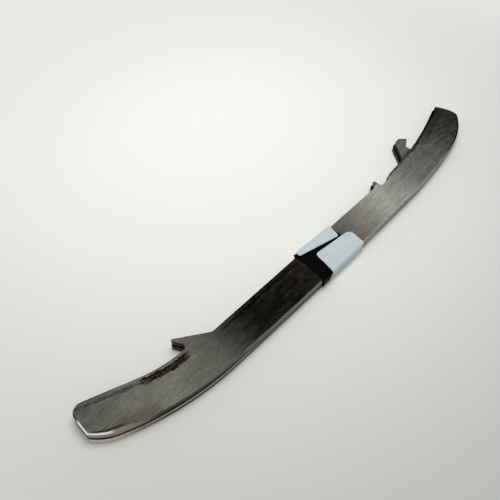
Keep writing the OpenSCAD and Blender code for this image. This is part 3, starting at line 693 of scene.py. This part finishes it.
# The skin gets darker between these places u, down to this factor
DARKER_FROM, DARKER_TO, DARKEST = -60, 70, 0.25
# A surface counts as flat from this component of its normal on
FLAT_FROM = 0.6
skin_rust = add(tree, "ShaderNodeMapRange", None, Value=marks["speck"], From_Min=RUST_FROM,
                From_Max=RUST_FULL).outputs[0]
cut_tone = add(tree, "ShaderNodeMix", {"data_type": "RGBA"}, i0=skin_rust, i6=linear(CUT_SKIN),
               i7=linear(CUT_RUST)).outputs[2]
cut_level = add(tree, "ShaderNodeMapRange", None, Value=share, From_Min=share_of(DARKER_FROM),
                From_Max=share_of(DARKER_TO), To_Min=1.0, To_Max=DARKEST).outputs[0]
cut_tone = add(tree, "ShaderNodeMix", {"data_type": "RGBA", "blend_type": "MULTIPLY"}, i0=1.0, i6=cut_tone,
               i7=cut_level).outputs[2]
edge_tone = add(tree, "ShaderNodeMix", {"data_type": "RGBA"}, i0=is_ice, i6=cut_tone, i7=ice_tone).outputs[2]
side_sign = add(tree, "ShaderNodeMath", {"operation": "MULTIPLY_ADD"}, i0=is_upper, i1=2.0,
                i2=-1.0).outputs[0]
outward = add(tree, "ShaderNodeMath", {"operation": "MULTIPLY"}, i0=z_facing, i1=side_sign).outputs[0]
is_gap = add(tree, "ShaderNodeMath", {"operation": "LESS_THAN"}, i0=outward, i1=-FLAT_FROM).outputs[0]
is_face = add(tree, "ShaderNodeMath", {"operation": "GREATER_THAN"}, i0=outward, i1=FLAT_FROM).outputs[0]
steel_colour = add(tree, "ShaderNodeMix", {"data_type": "RGBA"}, i0=is_face, i6=edge_tone, i7=wear_and_painted_light).outputs[2]
# Gap faces: old dirt and painted shade between the plates
steel_colour = add(tree, "ShaderNodeMix", {"data_type": "RGBA"}, i0=is_gap, i6=steel_colour,
                   i7=linear(GAP_DIRT_AND_SHADE)).outputs[2]
print("surfaces told apart: face, gap, ice edge, cut edge")

# %% [markdown]
# A belt-ground face mirrors the room a little blurred, a wheel-ground edge is duller, and the skin of the cut
# edges is nearly matt. The grain also gives a faint bump.

# %% Steel: shader
FACE_ROUGH, CUT_ROUGH, ICE_ROUGH = (0.12, 0.22), 0.6, 0.25
GRAIN_HEIGHT, GRAIN_STRENGTH = 0.05, 0.1
face_rough = add(tree, "ShaderNodeMapRange", None, Value=marks["cloud"], From_Min=NOISE_LOW,
                 From_Max=NOISE_HIGH, To_Min=FACE_ROUGH[0], To_Max=FACE_ROUGH[1]).outputs[0]
edge_rough = add(tree, "ShaderNodeMapRange", None, Value=is_ice, To_Min=CUT_ROUGH,
                 To_Max=ICE_ROUGH).outputs[0]
steel_rough = add(tree, "ShaderNodeMix", {"data_type": "FLOAT"}, i0=is_face, i2=edge_rough,
                  i3=face_rough).outputs[0]
steel_bump = add(tree, "ShaderNodeBump", None, Height=marks["grain"], Strength=GRAIN_STRENGTH,
                 Distance=GRAIN_HEIGHT * MM).outputs[0]
# Painted glint lines lose their metal, so they stay pale
face_glint = add(tree, "ShaderNodeMath", {"operation": "MULTIPLY", "use_clamp": True}, i0=painted_glint,
                i1=is_face).outputs[0]
bare_metal = add(tree, "ShaderNodeMath", {"operation": "SUBTRACT"}, i0=1.0, i1=face_glint).outputs[0]
steel_shader = add(tree, "ShaderNodeBsdfPrincipled", None, Base_Color=steel_colour, Metallic=bare_metal,
                   Roughness=steel_rough, Normal=steel_bump)
add(tree, "ShaderNodeOutputMaterial", None, Surface=steel_shader.outputs[0])
print("steel nodes:", len(tree.nodes))

# %% [markdown]
# ## Tape and film
# The tape is soft black PVC with a dull, slightly uneven skin. The label is white film with a satin surface
# that has picked up a little grey from handling. Both are plain plastics with an IOR of about 1.5. The tape's
# fine pebbles scatter its gloss, so its specular level is far below the usual one.

# %% Tape material
# Size of the pebbles on the tape, and their height, in mm
PEBBLE, PEBBLE_HEIGHT = 0.5, 0.1
black_tape, tree = new_material("dull_black_vinyl_tape")
place = add(tree, "ShaderNodeTexCoord").outputs["Object"]
skin = add(tree, "ShaderNodeTexNoise", None, Vector=place, Scale=1 / (PEBBLE * MM), Detail=3.0).outputs[0]
skin_tone = add(tree, "ShaderNodeValToRGB", None, Fac=skin)
set_ramp(skin_tone, [(0.3, linear("#030303")), (0.75, linear("#09090a"))])
skin_bump = add(tree, "ShaderNodeBump", None, Height=skin, Strength=0.15,
                Distance=PEBBLE_HEIGHT * MM).outputs[0]
tape_shader = add(tree, "ShaderNodeBsdfPrincipled", None, Base_Color=skin_tone.outputs[0], Roughness=0.75,
                  IOR=1.5, Specular_IOR_Level=0.08, Normal=skin_bump)
add(tree, "ShaderNodeOutputMaterial", None, Surface=tape_shader.outputs[0])
print("tape nodes:", len(tree.nodes))

# %% Film material
# Sizes of the grey clouds and of the film's fine tooth, and the height of the tooth, in mm
HANDLING, TOOTH, TOOTH_HEIGHT = 7, 0.35, 0.05
white_film, tree = new_material("satin_white_film")
place = add(tree, "ShaderNodeTexCoord").outputs["Object"]
handling = add(tree, "ShaderNodeTexNoise", None, Vector=place, Scale=1 / (HANDLING * MM),
               Detail=5.0).outputs[0]
film_tone = add(tree, "ShaderNodeValToRGB", None, Fac=handling)
set_ramp(film_tone, [(0.3, linear("#c4cfd1")), (0.7, linear("#ced8da"))])
tooth = add(tree, "ShaderNodeTexNoise", None, Vector=place, Scale=1 / (TOOTH * MM), Detail=2.0).outputs[0]
film_bump = add(tree, "ShaderNodeBump", None, Height=tooth, Strength=0.06,
                Distance=TOOTH_HEIGHT * MM).outputs[0]
film_shader = add(tree, "ShaderNodeBsdfPrincipled", None, Base_Color=film_tone.outputs[0], Roughness=0.42,
                  IOR=1.5, Normal=film_bump)
add(tree, "ShaderNodeOutputMaterial", None, Surface=film_shader.outputs[0])
print("film nodes:", len(tree.nodes))

# %% [markdown]
# ## Dressing the part
# The runners are right as solids, so they only get the steel. The tape and the label stand for their solids,
# which stay hidden. Both are sheets.

# %% Dress the pieces
for name in ("upper_blade", "lower_blade"):
    blade_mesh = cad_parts[name].data
    blade_mesh.materials.clear()
    blade_mesh.materials.append(steel)
for piece, material, node_name, slot in ((tape, black_tape, "tape_band", "black_tape"),
                                         (label, white_film, "wrap_label", "white_film")):
    piece.data.materials.append(material)
    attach(piece, "root")
    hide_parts(node_name)
print("dressed:", sorted(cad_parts), tape.name, label.name)

# %% [markdown]
# ## Floor
# The bundle lies on a plain white board. Near the bundle the board shows light and shadow. Further away it
# turns into an even pale tone, so that no side view ends in a dark room. Only the camera and reflections see
# that tone, so it doesn't light the matt parts.

# %% Floor
# Half the board's side, and the distances from the middle between which it turns plain, in metres
BOARD_HALF, PLAIN_FROM, PLAIN_FULL = 3, 0.13, 0.34
BOARD_TONE, BACKDROP_TONE = "#f2f3ee", "#e9eae5"
corners = [(x * BOARD_HALF, y * BOARD_HALF, 0) for x, y in ((-1, -1), (1, -1), (1, 1), (-1, 1))]
floor_mesh = bpy.data.meshes.new("board")
floor_mesh.from_pydata(corners, [], [(0, 1, 2, 3)])
floor = bpy.data.objects.new("board", floor_mesh)
bpy.context.collection.objects.link(floor)
board, tree = new_material("matt_white_board")
board_shader = add(tree, "ShaderNodeBsdfPrincipled", None, Base_Color=linear(BOARD_TONE), Roughness=0.6,
                   IOR=1.45)
place = add(tree, "ShaderNodeTexCoord").outputs["Object"]
away = add(tree, "ShaderNodeVectorMath", {"operation": "LENGTH"}, i0=place).outputs["Value"]
is_far = add(tree, "ShaderNodeMapRange", {"interpolation_type": "SMOOTHSTEP"}, Value=away,
             From_Min=PLAIN_FROM, From_Max=PLAIN_FULL).outputs[0]
path = add(tree, "ShaderNodeLightPath")
is_seen = add(tree, "ShaderNodeMath", {"operation": "MAXIMUM"}, i0=path.outputs["Is Camera Ray"],
              i1=path.outputs["Is Glossy Ray"]).outputs[0]
plain_share = add(tree, "ShaderNodeMath", {"operation": "MULTIPLY"}, i0=is_far, i1=is_seen).outputs[0]
plain = add(tree, "ShaderNodeEmission", None, Color=linear(BACKDROP_TONE))
board_look = add(tree, "ShaderNodeMixShader", None, i0=plain_share, i1=board_shader.outputs[0],
                 i2=plain.outputs[0])
add(tree, "ShaderNodeOutputMaterial", None, Surface=board_look.outputs[0])
floor_mesh.materials.append(board)
print("board is plain from", PLAIN_FULL, "m on")

# %% [markdown]
# ## Room
# Ground steel mirrors the room. Seen from the camera, each place along the runner shows one stretch of the
# ceiling, so the room is drawn as a ceiling of soft grey panels: a dark one for the stretch beside the tape,
# a bright one for the middle of the front half. The slope x/z of a ray tells which stretch of the ceiling it
# meets. Near the horizon the panels give way to plain walls, brighter on the hooks' side. The camera itself
# sees the pale backdrop in place of the room.

# %% Room: panels
# In millimetres
CAMERA_PLACE = Vector((-163.88, -108.53, 243.79))
# Each panel: the place u that mirrors it, and its brightness
ROOM = [(-190, 0.3), (-128, 0.26), (-118, 0.16), (-104, 0.44), (-84, 0.42), (-74, 0.27), (-62, 0.27),
        (-54, 0.1), (-46, 0.0), (-8, 0.0), (8, 0.08), (24, 0.13), (38, 0.32), (50, 0.58), (59, 1.2),
        (68, 0.95), (79, 0.5), (88, 0.14), (97, 0.32), (110, 0.21), (122, 0.1), (136, 0.07), (152, 0.03),
        (200, 0.3)]
# Slopes at the two ends of the ramp
SLOPE_LOW, SLOPE_HIGH = -0.5, 2.0


def mirror_slope(u):
    """x/z of the ray that a level face at u mirrors to the camera: their distance along x over the height."""
    return (u - RUNNER_MIDDLE[0] - CAMERA_PLACE.x) / (CAMERA_PLACE.z - steel_top(u))


def slope_share(slope):
    """Place of a slope in the ramp's range."""
    return (slope - SLOPE_LOW) / (SLOPE_HIGH - SLOPE_LOW)


print("slopes at heel and toe:", round(mirror_slope(HEEL_U), 2), round(mirror_slope(TOE_U), 2))

# %% Room: ceiling, walls and backdrop
# Heights z of a ray between which the walls give way to the panels
WALLS_TO, PANELS_FROM = 0.32, 0.46
# Brightness of the walls on the ice edge's side and on the hooks' side, and the reach in y of the change
WALL_NEAR, WALL_FAR, WALL_SPAN = 0.2, 0.5, 0.5
world = bpy.data.worlds.new("soft_room")
bpy.context.scene.world = world
world.use_nodes = True
tree = world.node_tree
ray_x, ray_y, ray_z = add(tree, "ShaderNodeSeparateXYZ", None,
                          Vector=add(tree, "ShaderNodeTexCoord").outputs["Generated"]).outputs
slope = add(tree, "ShaderNodeMath", {"operation": "DIVIDE"}, i0=ray_x, i1=ray_z).outputs[0]
ceiling = add(tree, "ShaderNodeMapRange", None, Value=slope, From_Min=SLOPE_LOW,
              From_Max=SLOPE_HIGH).outputs[0]
panels = add(tree, "ShaderNodeValToRGB", None, Fac=ceiling)
set_ramp(panels, [(slope_share(mirror_slope(u)), (grey, grey, grey, 1)) for u, grey in ROOM])
wall = add(tree, "ShaderNodeMapRange", None, Value=ray_y, From_Min=-WALL_SPAN, From_Max=WALL_SPAN,
           To_Min=WALL_NEAR, To_Max=WALL_FAR).outputs[0]
overhead = add(tree, "ShaderNodeMapRange", {"interpolation_type": "SMOOTHSTEP"}, Value=ray_z,
               From_Min=WALLS_TO, From_Max=PANELS_FROM).outputs[0]
room = add(tree, "ShaderNodeMix", {"data_type": "RGBA"}, i0=overhead, i6=wall,
           i7=panels.outputs[0]).outputs[2]
is_camera = add(tree, "ShaderNodeLightPath").outputs["Is Camera Ray"]
seen_room = add(tree, "ShaderNodeMix", {"data_type": "RGBA"}, i0=is_camera, i6=room, i7=linear(BACKDROP_TONE))
tree.links.new(seen_room.outputs[2], tree.nodes["Background"].inputs["Color"])
print("room panels:", len(ROOM))

# %% [markdown]
# ## Lamp
# One soft lamp hangs over the bundle and aims toward the hooks' side, so the board is brightest there and
# fades gently to the other side. The lamp is left out of reflections: in the steel it would be a white spot.

# %% Lamp
# In metres
LAMP_PLACE, LAMP_AIM = Vector((0.04, 0.03, 0.55)), Vector((0.04, 0.18, 0))
LAMP_RADIUS, LAMP_WATTS, LAMP_CONE = 0.2, 11.8, math.radians(86)
lamp_data = bpy.data.lights.new("soft_lamp", "SPOT")
lamp_data.shadow_soft_size = LAMP_RADIUS
lamp_data.energy = LAMP_WATTS
lamp_data.spot_size = LAMP_CONE
lamp_data.spot_blend = 1.0
lamp = bpy.data.objects.new("soft_lamp", lamp_data)
lamp.visible_glossy = False
lamp.location = LAMP_PLACE
lamp.rotation_euler = (LAMP_AIM - LAMP_PLACE).to_track_quat("-Z", "Y").to_euler()
bpy.context.collection.objects.link(lamp)
print("lamp height in m:", round(LAMP_PLACE.z, 2))

# %% [markdown]
# ## Camera
# The camera looks down by 51 degrees from the heel's side, so the toe looks smaller than the heel. Its focal
# length is known in pixels of a square picture, and the sensor's width turns it into millimetres.

# %% Camera
PHOTO_SIDE, FOCAL_PIXELS, SENSOR = 500, 600, 36
CAMERA_LOOK = Vector((0.45601, 0.42968, -0.77939))
CAMERA_RIGHT = Vector((0.68276, -0.73064, -0.00334))
camera_data = bpy.data.cameras.new("camera")
camera_data.sensor_width = SENSOR
camera_data.lens = FOCAL_PIXELS / PHOTO_SIDE * SENSOR
camera_data.clip_start = 0.01
camera = bpy.data.objects.new("camera", camera_data)
look, right = CAMERA_LOOK.normalized(), CAMERA_RIGHT.normalized()
turn = Matrix((right, right.cross(look), -look)).transposed().to_4x4()
camera.matrix_world = Matrix.Translation(CAMERA_PLACE * MM) @ turn
bpy.context.collection.objects.link(camera)
bpy.context.scene.camera = camera
bpy.context.scene.view_settings.view_transform = "Standard"
print("camera height in mm:", round(camera.location.z / MM))
